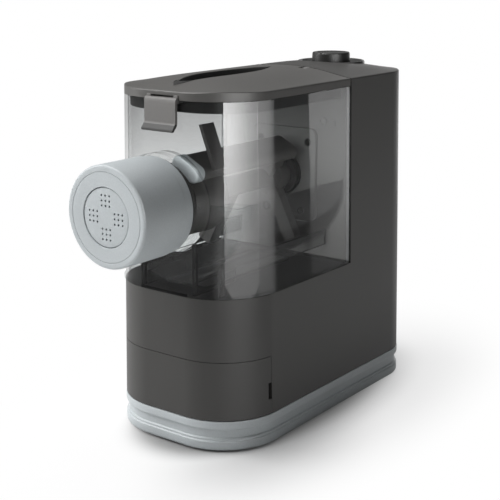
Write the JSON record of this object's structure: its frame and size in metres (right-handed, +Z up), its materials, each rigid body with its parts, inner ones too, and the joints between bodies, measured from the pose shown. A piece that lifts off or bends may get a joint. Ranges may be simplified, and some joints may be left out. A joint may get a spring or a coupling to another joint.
{
  "type": "electric pasta maker",
  "caption": "Tabletop pasta maker: clear mixing chamber with paddle, horizontal screw extruder with a round nut and hole disc, domed lid, dial, drawer, base ring.",
  "frame": {"origin": "on the table, under the middle of the machine's outer box", "axes": "+Z up, the nut and the drawer face -Y, the tower stands at +Y, +X to the right seen from the front"},
  "size_m": [0.1356, 0.3152, 0.2793],
  "materials": {
    "body_grey": "satin",
    "dark_plastic": "satin",
    "pale_plastic": "satin",
    "mid_plastic": "satin",
    "clear_plastic": "clear, polished",
    "rubber": "matt",
    "steel": "fine brushed",
    "gear_nylon": "satin",
    "circuit_board": "satin"
  },
  "bodies": {
    "body": {"housing": "body_grey", "tower_wall": "body_grey", "coupling_plate": "body_grey", "base_plate": "dark_plastic", "plate_screw_1": "dark_plastic", "plate_screw_2": "dark_plastic", "plate_screw_3": "dark_plastic", "plate_screw_4": "dark_plastic", "dial_bezel": "dark_plastic", "selector_switch": "dark_plastic", "power_inlet": "dark_plastic", "drawer_bay": "dark_plastic", "base_ring": "pale_plastic", "extruder_barrel": "mid_plastic", "gearbox_front": "mid_plastic", "gearbox_rear": "mid_plastic", "mixing_chamber": "clear_plastic", "mixing_trough": "clear_plastic", "foot_1": "rubber", "foot_2": "rubber", "foot_3": "rubber", "foot_4": "rubber", "barrel_seal": "rubber", "hub_seal": "rubber", "base_screw_1": "steel", "base_screw_2": "steel", "base_screw_3": "steel", "base_screw_4": "steel", "idler_axle": "steel", "motor_can": "steel", "front_bearing": "steel", "rear_bearing": "steel", "inlet_pin_left": "steel", "inlet_pin_right": "steel", "control_board": "circuit_board"},
    "lid": {"lid_shell": "body_grey", "lid_skirt": "dark_plastic", "water_channel": "dark_plastic", "hinge_pin_left": "steel", "hinge_pin_right": "steel"},
    "latch": {"latch": "mid_plastic"},
    "drawer": {"drawer_front": "body_grey", "drawer_tray": "body_grey", "spare_disc_1": "pale_plastic", "spare_disc_2": "pale_plastic", "cleaning_tool": "pale_plastic"},
    "dial": {"dial_knob": "dark_plastic", "dial_shaft": "steel"},
    "disc": {"shaping_disc": "pale_plastic", "disc_seal": "rubber"},
    "nut": {"front_nut": "pale_plastic"},
    "drive": {"drive_coupling": "steel", "output_gear": "gear_nylon", "mixing_paddle": "mid_plastic", "paddle_scraper": "pale_plastic", "auger_screw": "mid_plastic"},
    "idler": {"idler_gear": "gear_nylon"},
    "rotor": {"motor_pinion": "steel", "motor_rotor": "steel", "cooling_fan": "dark_plastic"}
  },
  "joints": [
    {"name": "lid_hinge", "type": "hinge", "parent": "body", "child": "lid", "pos_m": [0, 0.04805, 0.2698], "axis": [-1, 0, 0], "range_deg": [0, 105]},
    {"name": "latch_swing", "type": "hinge", "parent": "lid", "child": "latch", "pos_m": [0, -0.09155, 0.2622], "axis": [-1, 0, 0], "range_deg": [0, 12], "stiffness_Nm_per_rad": 0.05},
    {"name": "drawer_slide", "type": "slide", "parent": "body", "child": "drawer", "axis": [0, -1, 0], "range_m": [0, 0.1]},
    {"name": "dial_turn", "type": "hinge", "parent": "body", "child": "dial", "pos_m": [0, 0.12105, 0.2753], "axis": [0, 0, 1], "range_deg": [-60, 60]},
    {"name": "disc_slide", "type": "slide", "parent": "body", "child": "disc", "axis": [0, -1, 0], "range_m": [0, 0.01]},
    {"name": "nut_turn", "type": "hinge", "parent": "disc", "child": "nut", "pos_m": [0, -0.13195, 0.1851], "axis": [0, -1, 0], "range_deg": [0, 720]},
    {"name": "drive_turn", "type": "hinge", "parent": "body", "child": "drive", "pos_m": [0, 0.07305, 0.1851], "axis": [0, 1, 0], "continuous": true},
    {"name": "idler_turn", "type": "hinge", "parent": "body", "child": "idler", "pos_m": [0, 0.07805, 0.12885], "axis": [0, 1, 0], "continuous": true},
    {"name": "rotor_turn", "type": "hinge", "parent": "body", "child": "rotor", "pos_m": [0, 0.11805, 0.08685], "axis": [0, 1, 0], "continuous": true}
  ],
  "couplings": [
    {"joint": "disc_slide", "follows": "nut_turn", "m_per_rad": 0.00079577},
    {"joint": "idler_turn", "follows": "drive_turn", "ratio": -3.5},
    {"joint": "rotor_turn", "follows": "drive_turn", "ratio": 11.2}
  ]
}
